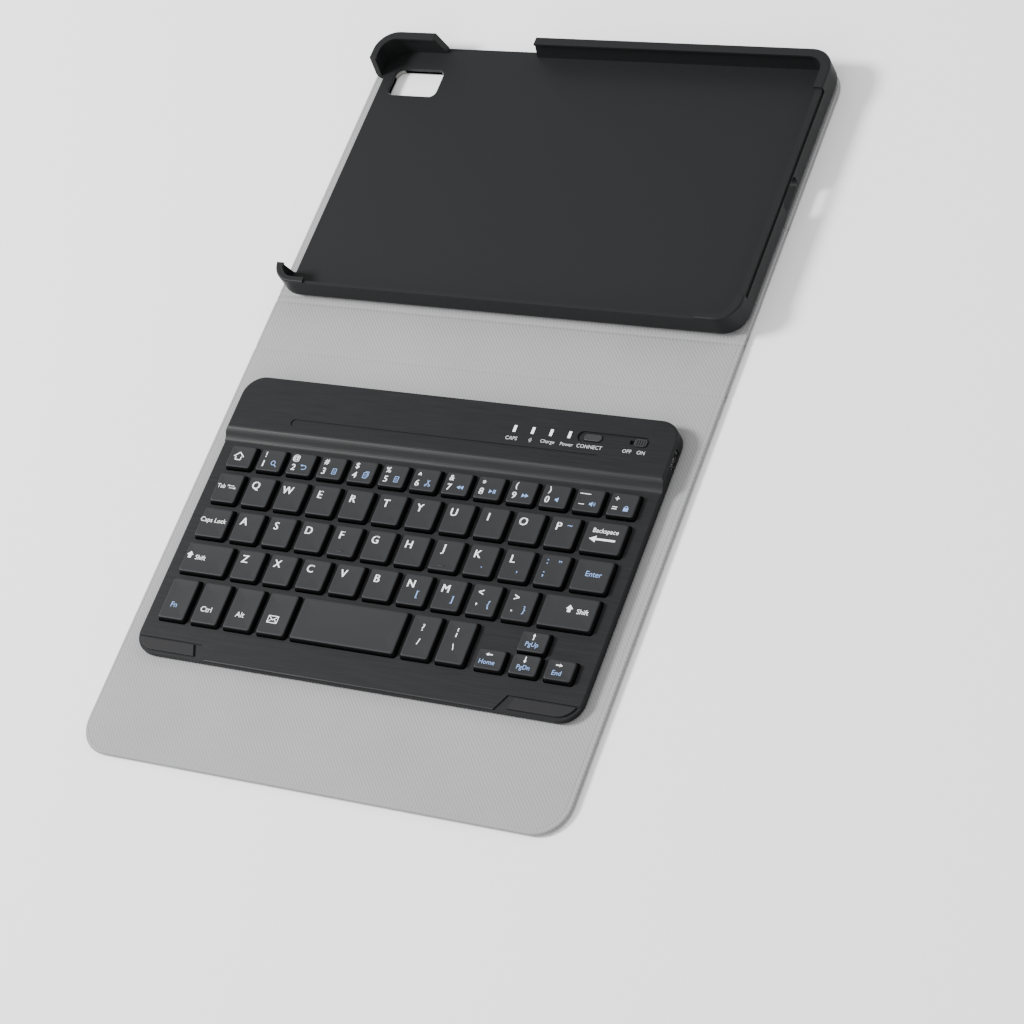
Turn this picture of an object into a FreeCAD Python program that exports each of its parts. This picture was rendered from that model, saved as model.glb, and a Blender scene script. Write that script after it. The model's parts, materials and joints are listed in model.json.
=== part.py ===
"""Folding tablet case with a moulded tray and a detachable wireless keyboard.

Millimetres, +Z up. The case lies open and flat: the front cover with the keyboard is towards -Y,
the back cover with the tray is towards +Y. The origin is under the middle of the open folio.
"""
import FreeCAD
import Part
import math
import os

V = FreeCAD.Vector

# ---------------------------------------------------------------- folio, the folding cover
HALF_WIDTH = 105.8
HALF_LENGTH = 168.5
CORNER_R = 13.0
SKIN = 0.5                    # outer skin
BOARD = 1.4                   # stiffening board
LINING = 0.5                  # inner cloth
FOLIO = SKIN + BOARD + LINING
HEM = 1.6                     # solid border where the skin turns over the board
FRONT_FOLD_Y = 14.8           # front cover to spine
BACK_FOLD_Y = 37.8            # spine to hinge strip
STAND_FOLD_Y = 40.8           # hinge strip to lower back
TILT_FOLD_Y = 91.0            # lower back to upper back
BOARD_GAP = 1.5               # boards stop this far from a fold
SKIN_GAP = 0.15               # cloth stops this far from a fold

# ---------------------------------------------------------------- tray for the tablet
TRAY = dict(x0=-104.1, x1=105.2, y0=40.0, y1=167.7)
BAY = dict(x0=-101.7, x1=102.3, y0=41.4, y1=164.8)    # room for the tablet
GLUE = 0.2
TRAY_Z0 = FOLIO + GLUE
TRAY_FLOOR = 1.6
BAY_Z = TRAY_Z0 + TRAY_FLOOR
LIP_Z = 13.4                  # underside of the retaining lips, at the glass
RAIL_TOP = 14.3               # top of the thick rails and corner clips
WALL_TOP = 13.5               # top of the thin walls
LIP = 1.1                     # how far the lips reach over the glass
TRAY_R = 10.0
BAY_R = 7.5
WINDOW = dict(x0=-96.0, x1=-72.0, y0=142.0, y1=156.0)  # rear camera
PORT = dict(y0=95.5, y1=109.5, z0=6.2, z1=11.4)

# ---------------------------------------------------------------- keyboard
KB_W = 194.4
KB_H = 124.4
KB_R = 9.0
KB_X = 0.0
KB_Y = -64.0
KB_Z = FOLIO + 0.05
WALL = 1.6
BASE_Z0 = 0.3                 # the case floor, raised by the rubber feet
BASE_FLOOR_Z = 1.1
PARTING_Z = 2.2
DECK_Z = 3.6                  # top of the case between the keys
DECK_SKIN = 1.0
HUMP_Z = 6.4                  # top of the battery hump
HUMP_FRONT_Y = 38.4           # the deck rises from the toe to here
HUMP_TOE_Y = 32.6
HUMP_STEPS = 10
PAD_Z = DECK_Z - 0.5          # ledge under the front pads
PAD_TOP_Z = DECK_Z + 0.25
PAD_BACK_Y = -56.0

CAP_SKIRT_Z = 3.2
CAP_TOP_Z = 5.8
CAP_FLARE = 0.45              # the skirt is this much wider than the top on each side
CAP_WALL = 0.9
KEY_CLEARANCE = 0.35
MEMBRANE_TOP_Z = 1.9
MEMBRANE = 0.3
PLATE_Z0 = 1.15

FIELD_X0 = -90.3              # left edge of the key tops
FIELD_X1 = 90.3
KEY_W = 11.7                  # a letter key's top
NUMBER_W = 11.1
LETTER_PITCH = 15.0
ROW_PITCH = 15.85
KEY_H = 12.7
NUMBER_Y0 = 20.6
NUMBER_H = 9.5
BOTTOM_H = 17.4
ARROW_H = 8.0
LETTER_GAP = LETTER_PITCH - KEY_W

SLOT = dict(x0=56.4, x1=86.4, y0=49.2, y1=53.8, depth=0.6)   # recess of the switches
LAMP_X0 = 29.4
LAMP_PITCH = 7.87
LAMP_Y = 51.5
LAMP_COUNT = 4
SWITCH_X = 82.8
CONNECT_X = 62.8
SOCKET = dict(y0=43.6, y1=51.2, z0=2.3, z1=5.0, depth=5.6)
SCREW_TOP_Z = 2.85
SCREWS = [(x, y) for y in (-57.2, 57.2) for x in (-91.0, 0.0, 91.0)]
LATCH_X = 76.0
LATCH_Y = 55.4
LATCH = (20.0, 7.0)
FEET = [(x, y) for x in (-84.0, 84.0) for y in (-46.0, 44.0)]
STAND_MAGNET_X = 84.0
STAND_MAGNET_Y = 8.0

NODES = {}


# ---------------------------------------------------------------- shape helpers
def outline(x0, x1, y0, y1, z, radii):
    """Closed rectangle wire; radii are for (x0,y0), (x1,y0), (x1,y1), (x0,y1)."""
    turns = [((x0, y0), (1, 1)), ((x1, y0), (-1, 1)), ((x1, y1), (-1, -1)), ((x0, y1), (1, -1))]
    half = 1 - 0.5 ** 0.5
    stops = []
    for index, (((cx, cy), (dx, dy)), r) in enumerate(zip(turns, radii)):
        on_x = V(cx + dx * r, cy, z)
        on_y = V(cx, cy + dy * r, z)
        middle = V(cx + dx * r * half, cy + dy * r * half, z)
        first, last = (on_y, on_x) if index % 2 == 0 else (on_x, on_y)
        stops.append((first, middle, last, r))
    edges = []
    for index, (first, middle, last, r) in enumerate(stops):
        if r > 0:
            edges.append(Part.Arc(first, middle, last).toShape())
        following = stops[(index + 1) % 4][0]
        if last.distanceToPoint(following) > 1e-6:
            edges.append(Part.makeLine(last, following))
    return Part.Wire(edges)


def plate(x0, x1, y0, y1, z0, z1, r=0.0):
    """Flat slab with rounded upright corners; r is one radius or four."""
    radii = r if isinstance(r, tuple) else (r,) * 4
    return Part.Face(outline(x0, x1, y0, y1, z0, radii)).extrude(V(0, 0, z1 - z0))


def profile_x(points, x0, x1):
    """A (y, z) outline pushed along X."""
    wire = Part.makePolygon([V(x0, y, z) for y, z in points + points[:1]])
    return Part.Face(wire).extrude(V(x1 - x0, 0, 0))


def profile_y(points, y0, y1):
    """An (x, z) outline pushed along Y."""
    wire = Part.makePolygon([V(x, y0, z) for x, z in points + points[:1]])
    return Part.Face(wire).extrude(V(0, y1 - y0, 0))


def edges_at(shape, z):
    """Every edge that lies wholly at one height."""
    return [e for e in shape.Edges if all(abs(p.Z - z) < 1e-6 for p in e.Vertexes)
            and abs(e.BoundBox.ZMax - e.BoundBox.ZMin) < 1e-6]


def add(name, *solids):
    NODES[name] = solids[0] if len(solids) == 1 else Part.makeCompound(list(solids))


def seated(shape):
    """Move a piece from the keyboard's own frame to its place on the front cover."""
    return shape.translated(V(KB_X, KB_Y, KB_Z))


# ---------------------------------------------------------------- folio
def camera_window(z0, z1, grow=0.0):
    return plate(WINDOW["x0"] - grow, WINDOW["x1"] + grow, WINDOW["y0"] - grow,
                 WINDOW["y1"] + grow, z0, z1, 3.0 + grow)


def magnet_spots():
    """Centres and sizes of the magnets in the front cover, as (x, y, length, width)."""
    for sx in (-1, 1):
        for sy in (-1, 1):
            yield KB_X + sx * LATCH_X, KB_Y + sy * LATCH_Y, *LATCH


def stand_magnet_spots():
    for sx in (-1, 1):
        yield sx * STAND_MAGNET_X, STAND_MAGNET_Y, 24.0, 6.0


def bars(spots, z0, z1, grow=0.0):
    return [plate(x - a / 2 - grow, x + a / 2 + grow, y - b / 2 - grow, y + b / 2 + grow, z0, z1, 1.0)
            for x, y, a, b in spots]


def panel(name, y0, y1, radii, skin_gaps, lining_gaps, holes=(), window=False):
    """One stiff panel: skin with a turned border, board and lining. y0 and y1 are its limits."""
    x = HALF_WIDTH
    free0, free1 = abs(y0) == HALF_LENGTH, abs(y1) == HALF_LENGTH
    b0 = y0 if free0 else y0 + BOARD_GAP
    b1 = y1 if free1 else y1 - BOARD_GAP
    inner_r = tuple(max(r - HEM, 0.0) for r in radii)
    board_box = (-x + HEM, x - HEM, b0 + (HEM if free0 else 0), b1 - (HEM if free1 else 0))
    skin = plate(-x, x, y0 + skin_gaps[0], y1 - skin_gaps[1], 0, SKIN, radii)
    border = plate(-x, x, b0, b1, SKIN, SKIN + BOARD, radii)
    skin = skin.fuse(border.cut(plate(*board_box, SKIN, SKIN + BOARD, inner_r))).removeSplitter()
    board = plate(*board_box, SKIN, SKIN + BOARD, inner_r)
    lining = plate(-x, x, y0 + lining_gaps[0], y1 - lining_gaps[1], SKIN + BOARD, FOLIO, radii)
    for hole in holes:
        board = board.cut(hole)
    if window:
        skin = skin.cut(camera_window(-1, FOLIO, 0.5))
        board = board.cut(camera_window(-1, FOLIO, 0.5))
        lining = lining.cut(camera_window(-1, FOLIO, 0.5))
    add(name + "_skin", skin)
    add(name + "_board", board)
    add(name + "_lining", lining)


def folio():
    thin, wide = SKIN_GAP, BOARD_GAP
    front_r, none, back_r = (CORNER_R, CORNER_R, 0, 0), (0,) * 4, (0, 0, CORNER_R, CORNER_R)
    z0, z1 = SKIN, SKIN + BOARD
    pockets = bars(magnet_spots(), z0, z1, 0.1) + bars(stand_magnet_spots(), z0, z1, 0.1)
    panel("front_cover", -HALF_LENGTH, FRONT_FOLD_Y, front_r, (0, thin), (0, wide), pockets)
    panel("spine", FRONT_FOLD_Y, BACK_FOLD_Y, none, (thin, thin), (wide, wide))
    panel("lower_back", STAND_FOLD_Y, TILT_FOLD_Y, none, (thin, wide), (wide, thin))
    panel("upper_back", TILT_FOLD_Y, HALF_LENGTH, back_r, (wide, 0), (thin, 0), window=True)
    add("spine_hinge_strip", plate(-HALF_WIDTH, HALF_WIDTH, BACK_FOLD_Y + thin,
                                   STAND_FOLD_Y - thin, 0, SKIN + 0.3))
    add("keyboard_magnets", *bars(magnet_spots(), z0 + 0.05, z1 - 0.05))
    add("stand_magnets", *bars(stand_magnet_spots(), z0 + 0.05, z1 - 0.05))


# ---------------------------------------------------------------- tray
def tray_block():
    block = plate(TRAY["x0"], TRAY["x1"], TRAY["y0"], TRAY["y1"], TRAY_Z0, RAIL_TOP, TRAY_R)
    block = block.makeFillet(3.0, edges_at(block, TRAY_Z0))
    return block.makeFillet(0.8, edges_at(block, RAIL_TOP))


def tray_lips_cutter():
    """The bay up to the lips, and a narrower mouth above them."""
    bay = plate(BAY["x0"], BAY["x1"], BAY["y0"], BAY["y1"], BAY_Z, LIP_Z, BAY_R)
    mouth = plate(BAY["x0"] + LIP, BAY["x1"] - LIP, BAY["y0"] + LIP, BAY["y1"] - LIP,
                  LIP_Z - 0.1, RAIL_TOP + 1, BAY_R - LIP)
    return bay.fuse(mouth)


def side_gap(y0, y1, slope=3.0):
    """Opening in the left side, with leaning ends that leave flared clips."""
    z0, z1 = TRAY_Z0 - 1, RAIL_TOP + 1
    points = [(y0 + slope, z0), (y1 - slope, z0), (y1, z1), (y0, z1)]
    return profile_x(points, TRAY["x0"] - 5, BAY["x0"] + LIP + 0.1)


def top_gap(x0, x1, slope=3.0):
    """Opening in the top wall, over the tablet's buttons."""
    z0, z1 = BAY_Z, RAIL_TOP + 1
    points = [(x0 + slope, z0), (x1 - slope, z0), (x1, z1), (x0, z1)]
    return profile_y(points, BAY["y1"] - LIP - 0.1, TRAY["y1"] + 5)


def thin_walls():
    """What is cut from the rails to leave the lower, thinner walls without lips."""
    past = 10.0
    right = plate(BAY["x1"] - LIP - 1, TRAY["x1"] + past, 52.0, 149.0, WALL_TOP, RAIL_TOP + 1)
    right = right.fuse(plate(TRAY["x1"] - 0.7, TRAY["x1"] + past, 52.0, 149.0, 11.6, RAIL_TOP))
    right = right.fuse(plate(BAY["x1"] - LIP - 1, BAY["x1"], 52.0, 149.0, LIP_Z - 0.1, RAIL_TOP))
    front = plate(-88.0, 88.0, TRAY["y0"] - past, BAY["y0"] + LIP + 1, WALL_TOP, RAIL_TOP + 1)
    front = front.fuse(plate(-88.0, 88.0, BAY["y0"], BAY["y0"] + LIP + 1, LIP_Z - 0.1, RAIL_TOP))
    return right.fuse(front)


def port_cutout():
    hole = plate(-PORT["z1"], -PORT["z0"], PORT["y0"], PORT["y1"], 0, 12.0, 2.2)
    hole.rotate(V(0, 0, 0), V(0, 1, 0), 90)
    return hole.translated(V(BAY["x1"] - 4, 0, 0))


def foot_plate_spots():
    for sx in (-1, 1):
        yield sx * STAND_MAGNET_X, TRAY["y0"] + 7.5, 22.0, 7.0


def tray():
    shell = tray_block().cut(tray_lips_cutter())
    shell = shell.cut(side_gap(48.5, 154.0))
    shell = shell.cut(top_gap(-77.6, -28.4))
    shell = shell.cut(thin_walls())
    shell = shell.cut(port_cutout())
    shell = shell.cut(camera_window(TRAY_Z0 - 1, BAY_Z + 1))
    for pocket in bars(foot_plate_spots(), TRAY_Z0 - 1, TRAY_Z0 + 0.8, 0.1):
        shell = shell.cut(pocket)
    add("tray_shell", shell)
    add("foot_plates", *bars(foot_plate_spots(), TRAY_Z0 + 0.05, TRAY_Z0 + 0.75))
    glue = plate(-92.0, 92.0, TILT_FOLD_Y + 4, 161.0, FOLIO, TRAY_Z0, 4.0)
    add("tray_adhesive", glue.cut(camera_window(0, 9, 1.5)))


# ---------------------------------------------------------------- key layout
def run(x0, count, width, pitch, y0, height):
    """A row of equal keys, as rectangles (x0, x1, y0, y1)."""
    return [(x0 + i * pitch, x0 + i * pitch + width, y0, y0 + height) for i in range(count)]


def key_groups():
    """Every key top in the keyboard's own frame, grouped by node name."""
    number_pitch = (FIELD_X1 - FIELD_X0 - NUMBER_W) / 12
    y2 = NUMBER_Y0 - LETTER_GAP - KEY_H
    y3 = y2 - ROW_PITCH
    y4 = y3 - ROW_PITCH
    y5 = y4 - LETTER_GAP - BOTTOM_H
    q_x, a_x, z_x = FIELD_X0 + 14.4, FIELD_X0 + 16.2, FIELD_X0 + 23.8

    def one(x0, x1, y0, height=KEY_H):
        return [(x0, x1, y0, y0 + height)]

    def after(x0, count):
        return x0 + count * LETTER_PITCH

    arrow_x = FIELD_X1 - 3 * NUMBER_W - 2 * LETTER_GAP
    arrow_step = NUMBER_W + LETTER_GAP
    groups = {
        "home_key": run(FIELD_X0, 1, NUMBER_W, number_pitch, NUMBER_Y0, NUMBER_H),
        "number_keys": run(FIELD_X0 + number_pitch, 12, NUMBER_W, number_pitch, NUMBER_Y0, NUMBER_H),
        "tab_key": one(FIELD_X0, q_x - LETTER_GAP, y2),
        "top_row_keys": run(q_x, 10, KEY_W, LETTER_PITCH, y2, KEY_H),
        "backspace_key": one(after(q_x, 10), FIELD_X1, y2),
        "caps_lock_key": one(FIELD_X0, a_x - LETTER_GAP, y3),
        "middle_row_keys": run(a_x, 10, KEY_W, LETTER_PITCH, y3, KEY_H),
        "enter_key": one(after(a_x, 10), FIELD_X1, y3),
        "left_shift_key": one(FIELD_X0, z_x - LETTER_GAP, y4),
        "lower_row_keys": run(z_x, 9, KEY_W, LETTER_PITCH, y4, KEY_H),
        "right_shift_key": one(after(z_x, 9), FIELD_X1, y4),
    }
    bottom = [("function_key", 0.0, KEY_W), ("control_key", 15.0, KEY_W + 0.2),
              ("alt_key", 30.1, KEY_W + 0.4), ("menu_key", 45.4, KEY_W + 0.6),
              ("space_bar", 60.6, 45.6), ("slash_key", 109.4, KEY_W), ("backslash_key", 124.2, KEY_W)]
    for name, start, width in bottom:
        groups[name] = one(FIELD_X0 + start, FIELD_X0 + start + width, y5, BOTTOM_H)
    for index, name in enumerate(("left_arrow_key", "down_arrow_key", "right_arrow_key")):
        x0 = arrow_x + index * arrow_step
        groups[name] = one(x0, x0 + NUMBER_W, y5, ARROW_H)
    x0 = arrow_x + arrow_step
    groups["up_arrow_key"] = one(x0, x0 + NUMBER_W, y5 + BOTTOM_H - ARROW_H, ARROW_H)
    return groups


def keycap(x0, x1, y0, y1):
    """Tapered cap with softened top edges, hollow underneath."""
    f = CAP_FLARE
    low = outline(x0 - f, x1 + f, y0 - f, y1 + f, CAP_SKIRT_Z, (1.1,) * 4)
    high = outline(x0, x1, y0, y1, CAP_TOP_Z, (0.9,) * 4)
    cap = Part.makeLoft([low, high], True, True)
    cap = cap.makeFillet(0.35, edges_at(cap, CAP_TOP_Z))
    w = CAP_WALL
    hollow = plate(x0 + w, x1 - w, y0 + w, y1 - w, CAP_SKIRT_Z - 1, CAP_TOP_Z - 0.8, 0.5)
    return cap.cut(hollow)


def rubber_dome(x0, x1, y0, y1):
    centre = V((x0 + x1) / 2, (y0 + y1) / 2, MEMBRANE_TOP_Z)
    return Part.makeCone(2.3, 1.2, CAP_TOP_Z - 0.9 - MEMBRANE_TOP_Z, centre)


def scissor_frames(x0, x1, y0, y1):
    """Two flat nested frames that hold a cap level."""
    mx, my = (x0 + x1) / 2, (y0 + y1) / 2
    a, b = min(x1 - x0, 12.0) / 2 - 1.4, min(y1 - y0, 12.0) / 2 - 1.1
    frames = []
    for inset, z0 in ((0.0, 2.0), (0.9, 2.5)):
        outer = plate(mx - a + inset, mx + a - inset, my - b, my + b, z0, z0 + 0.45)
        bar = 0.7
        inner = plate(mx - a + inset + bar, mx + a - inset - bar, my - b + bar, my + b - bar, z0 - 1, z0 + 1)
        frames.append(outer.cut(inner))
    return frames


def keys():
    domes, frames = [], []
    for name, tops in key_groups().items():
        add(name, *[seated(keycap(*top)) for top in tops])
        domes += [seated(rubber_dome(*top)) for top in tops]
        for top in tops:
            frames += [seated(frame) for frame in scissor_frames(*top)]
    add("key_domes", *domes)
    add("key_scissors", *frames)


# ---------------------------------------------------------------- keyboard case
def case_outline(inset, z0, z1):
    w, h = KB_W / 2 - inset, KB_H / 2 - inset
    return plate(-w, w, -h, h, z0, z1, KB_R - inset)


def posts(r, z0, z1, spots=SCREWS):
    return [Part.makeCylinder(r, z1 - z0, V(x, y, z0)) for x, y in spots]


def fuse_all(shape, others):
    for other in others:
        shape = shape.fuse(other)
    return shape


def cut_all(shape, others):
    for other in others:
        shape = shape.cut(other)
    return shape


def base_case():
    shell = case_outline(0, BASE_Z0, PARTING_Z)
    shell = shell.makeFillet(0.9, edges_at(shell, BASE_Z0))
    shell = shell.cut(case_outline(WALL, BASE_FLOOR_Z, PARTING_Z + 1))
    shell = fuse_all(shell, posts(2.2, BASE_FLOOR_Z - 0.2, PARTING_Z))
    shell = cut_all(shell, posts(0.85, 0, PARTING_Z + 1))
    shell = cut_all(shell, posts(1.6, 0, BASE_Z0 + 0.5))
    feet = [Part.makeCylinder(4.1, 0.7, V(x, y, 0)) for x, y in FEET]
    add("keyboard_base", seated(cut_all(shell, feet)))
    pads = [seated(Part.makeCylinder(4.0, 0.68, V(x, y, 0))) for x, y in FEET]
    add("rubber_feet", *pads)


def hump():
    """The raised back of the keyboard, with a front that rises in a smooth curve."""
    back = KB_H / 2 + 1
    points = [(HUMP_TOE_Y, PARTING_Z), (back, PARTING_Z), (back, HUMP_Z)]
    for step in range(HUMP_STEPS + 1):
        angle = math.pi * step / HUMP_STEPS
        y = HUMP_FRONT_Y - (HUMP_FRONT_Y - HUMP_TOE_Y) * step / HUMP_STEPS
        points.append((y, DECK_Z + (HUMP_Z - DECK_Z) * (1 + math.cos(angle)) / 2))
    bar = profile_x(points, -KB_W / 2 - 1, KB_W / 2 + 1)
    bar = bar.common(case_outline(0, 0, HUMP_Z + 1))
    return bar.makeFillet(1.0, [e for e in edges_at(bar, HUMP_Z) if e.BoundBox.YMax > HUMP_FRONT_Y + 2])


def corner_wedge(side, inner_front, inner_back, back_y, z0, z1):
    """A block over a front corner of the keyboard, with a leaning inner end."""
    front_y, end = -KB_H / 2 - 1, side * (KB_W / 2 + 1)
    points = [V(end, front_y, z0), V(side * inner_front, front_y, z0), V(side * inner_back, back_y, z0),
              V(end, back_y, z0)]
    return Part.Face(Part.makePolygon(points + points[:1])).extrude(V(0, 0, z1 - z0))


def corner_pad(side):
    """Rubber pad that follows the case's front corner."""
    pad = case_outline(1.4, PAD_Z, PAD_TOP_Z)
    pad = pad.common(corner_wedge(side, 67.5, 70.5, PAD_BACK_Y, PAD_Z - 1, PAD_TOP_Z + 1))
    return pad.makeFillet(0.25, edges_at(pad, PAD_TOP_Z))


def deck_recesses():
    """Shallow cuts in the outer surface: switch recess, long groove and the ledges of the pads."""
    slot = plate(SLOT["x0"], SLOT["x1"], SLOT["y0"], SLOT["y1"], HUMP_Z - SLOT["depth"], HUMP_Z + 1,
                 (SLOT["y1"] - SLOT["y0"]) / 2 - 0.01)
    groove = plate(-68.6, 68.2, 41.2, 44.4, HUMP_Z - 0.35, HUMP_Z + 1, 1.59)
    ledges = [corner_wedge(side, 62.5, 67.0, PAD_BACK_Y + 0.5, PAD_Z, DECK_Z + 1) for side in (-1, 1)]
    return [slot, groove] + ledges


def deck_openings():
    """Holes right through the deck for the keys, lamps and switches."""
    grow = CAP_FLARE + KEY_CLEARANCE
    holes = [plate(x0 - grow, x1 + grow, y0 - grow, y1 + grow, 0, DECK_Z + 1, 1.3)
             for tops in key_groups().values() for x0, x1, y0, y1 in tops]
    for i in range(LAMP_COUNT):
        x = LAMP_X0 + i * LAMP_PITCH
        holes.append(plate(x - 0.65, x + 0.65, LAMP_Y - 1.5, LAMP_Y + 1.5, 3, HUMP_Z + 1))
    holes.append(plate(CONNECT_X - 4.0, CONNECT_X + 4.0, LAMP_Y - 1.7, LAMP_Y + 1.7, 3, 7, 1.69))
    holes.append(plate(SWITCH_X - 4.6, SWITCH_X + 1.4, LAMP_Y - 0.9, LAMP_Y + 0.9, 3, 7))
    holes.append(plate(KB_W / 2 - 8, KB_W / 2 + 1, SOCKET["y0"] - 0.2, SOCKET["y1"] + 0.2,
                       SOCKET["z0"] - 0.2, SOCKET["z1"] + 0.2))
    return holes


def deck():
    slab = case_outline(0, PARTING_Z, DECK_Z)
    slab = slab.makeFillet(0.7, edges_at(slab, DECK_Z))
    shell = slab.fuse(hump())
    shell = shell.cut(case_outline(WALL, 0, DECK_Z - DECK_SKIN))
    inner = KB_W / 2 - WALL
    shell = shell.cut(plate(-inner, inner, HUMP_FRONT_Y - 0.4, KB_H / 2 - WALL, 0, HUMP_Z - DECK_SKIN,
                            (0, 0, KB_R - WALL, KB_R - WALL)))
    front_posts = [(x, y) for x, y in SCREWS if y < 0]
    back_posts = [(x, y) for x, y in SCREWS if y > 0]
    shell = fuse_all(shell, posts(2.0, PARTING_Z, DECK_Z - 0.2, front_posts))
    shell = fuse_all(shell, posts(2.0, PARTING_Z, HUMP_Z - 0.2, back_posts))
    shell = cut_all(shell, deck_recesses())
    shell = cut_all(shell, deck_openings())
    shell = cut_all(shell, posts(0.7, 0, SCREW_TOP_Z + 0.02))
    add("keyboard_deck", seated(shell))


# ---------------------------------------------------------------- keyboard insides
def inner_sheets():
    w, y0, y1 = 92.5, -50.5, 32.5
    add("key_support_plate", seated(plate(-w, w, y0, y1, PLATE_Z0, MEMBRANE_TOP_Z - MEMBRANE, 2.0)))
    add("key_membrane", seated(plate(-w, w, y0, y1, MEMBRANE_TOP_Z - MEMBRANE, MEMBRANE_TOP_Z, 2.0)))


def electronics():
    add("battery", seated(plate(-60.0, 18.0, 38.3, 54.6, 1.3, 4.9, 1.0)))
    board_z = 1.7
    board_top = board_z + 0.6
    add("main_board", seated(plate(24.0, 88.0, 38.3, 54.6, board_z, board_top, 0.8)))
    add("controller_chip", seated(plate(40.0, 47.0, 40.0, 47.0, board_top, board_top + 0.9)))
    add("power_switch_body", seated(plate(SWITCH_X - 6.0, SWITCH_X + 2.6, LAMP_Y - 1.8, LAMP_Y + 1.8,
                                          board_top, 4.3)))
    tact = plate(CONNECT_X - 2.3, CONNECT_X + 2.3, LAMP_Y - 2.3, LAMP_Y + 2.3, board_top, 3.6)
    add("connect_switch_body", seated(tact.fuse(Part.makeCylinder(0.9, 0.5, V(CONNECT_X, LAMP_Y, 3.6)))))
    lamps = []
    lenses = []
    for i in range(LAMP_COUNT):
        x = LAMP_X0 + i * LAMP_PITCH
        lamps.append(seated(plate(x - 0.6, x + 0.6, LAMP_Y - 0.6, LAMP_Y + 0.6, board_top, board_top + 0.8)))
        lenses.append(seated(plate(x - 0.6, x + 0.6, LAMP_Y - 1.45, LAMP_Y + 1.45, 4.6, HUMP_Z + 0.02)))
    add("indicator_lamps", *lamps)
    add("indicator_lenses", *lenses)


def charge_socket():
    s = SOCKET
    x1 = KB_W / 2 - 0.5
    x0 = x1 - s["depth"]
    metal = 0.35
    shell = plate(x0, x1, s["y0"], s["y1"], s["z0"], s["z1"])
    mouth = plate(x0 + metal, x1 + 1, s["y0"] + metal, s["y1"] - metal, s["z0"] + metal, s["z1"] - metal)
    middle = (s["z0"] + s["z1"]) / 2
    tongue = plate(x0, x1 - 1.2, s["y0"] + 1.8, s["y1"] - 1.8, middle - 0.3, middle + 0.3)
    add("charge_socket", seated(shell.cut(mouth).fuse(tongue)))


def switches():
    knob = plate(SWITCH_X - 2.6, SWITCH_X + 2.6, LAMP_Y - 1.6, LAMP_Y + 1.6, 5.85, 6.35, 1.2)
    stem = plate(SWITCH_X - 1.0, SWITCH_X + 1.0, LAMP_Y - 0.6, LAMP_Y + 0.6, 4.4, 5.85)
    knob = knob.fuse(stem)
    for i in range(4):
        x = SWITCH_X - 1.5 + i
        knob = knob.fuse(plate(x - 0.2, x + 0.2, LAMP_Y - 1.1, LAMP_Y + 1.1, 6.3, 6.6))
    add("power_knob", seated(knob))
    button = plate(CONNECT_X - 3.8, CONNECT_X + 3.8, LAMP_Y - 1.5, LAMP_Y + 1.5, 4.65, 6.3, 1.49)
    add("connect_button", seated(button.makeFillet(0.3, edges_at(button, 6.3))))


def fasteners():
    screws = []
    for x, y in SCREWS:
        head = Part.makeCylinder(1.45, 0.42, V(x, y, BASE_Z0 + 0.06))
        shank = Part.makeCylinder(0.7, SCREW_TOP_Z - BASE_Z0 - 0.48, V(x, y, BASE_Z0 + 0.48))
        drive = Part.makeCylinder(0.5, 0.25, V(x, y, BASE_Z0 + 0.06))
        screws.append(seated(head.fuse(shank).cut(drive)))
    add("case_screws", *screws)
    spots = [(sx * LATCH_X, sy * LATCH_Y, *LATCH) for sx in (-1, 1) for sy in (-1, 1)]
    add("latch_plates", *[seated(bar) for bar in bars(spots, BASE_FLOOR_Z, BASE_FLOOR_Z + 0.5)])


def keyboard():
    base_case()
    deck()
    add("front_pads", *[seated(corner_pad(side)) for side in (-1, 1)])
    inner_sheets()
    electronics()
    charge_socket()
    switches()
    fasteners()
    keys()


folio()
tray()
keyboard()
os.makedirs("parts", exist_ok=True)
for node, shape in NODES.items():
    shape.exportStep(f"parts/{node}.step")
    print(node, len(shape.Solids), shape.isValid(), round(shape.Volume, 1))
print(len(NODES), "nodes")
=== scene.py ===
"""The looks of the tablet keyboard case: cloth, moulded plastic, printed key legends, light and camera."""
import json
import math
import bmesh
import bpy
from mathutils import Matrix, Vector


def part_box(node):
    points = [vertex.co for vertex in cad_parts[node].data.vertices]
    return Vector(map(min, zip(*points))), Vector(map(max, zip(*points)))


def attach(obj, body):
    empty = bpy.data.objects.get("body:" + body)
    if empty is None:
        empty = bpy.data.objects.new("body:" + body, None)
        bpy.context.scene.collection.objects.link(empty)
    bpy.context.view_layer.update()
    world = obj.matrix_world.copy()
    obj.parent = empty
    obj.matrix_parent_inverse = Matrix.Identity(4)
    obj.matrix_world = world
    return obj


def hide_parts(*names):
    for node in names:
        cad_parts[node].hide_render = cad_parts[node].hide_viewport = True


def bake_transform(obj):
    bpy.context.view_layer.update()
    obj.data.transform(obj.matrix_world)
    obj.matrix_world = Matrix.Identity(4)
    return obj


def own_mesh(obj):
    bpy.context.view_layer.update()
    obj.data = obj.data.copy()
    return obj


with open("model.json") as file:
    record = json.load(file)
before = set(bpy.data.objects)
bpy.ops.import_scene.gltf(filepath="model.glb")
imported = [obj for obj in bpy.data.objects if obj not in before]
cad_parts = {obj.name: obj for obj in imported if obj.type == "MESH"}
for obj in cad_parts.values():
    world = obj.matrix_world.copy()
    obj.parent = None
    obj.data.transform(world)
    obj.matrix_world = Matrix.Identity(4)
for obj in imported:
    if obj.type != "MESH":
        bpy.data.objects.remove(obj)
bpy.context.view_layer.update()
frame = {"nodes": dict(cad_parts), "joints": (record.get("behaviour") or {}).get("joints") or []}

MM = 0.001
NODES = frame["nodes"]


def corners(node):
    """A CAD node's box as plain floats: x0, y0, z0, x1, y1, z1."""
    low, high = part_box(node)
    return (*low, *high)


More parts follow.
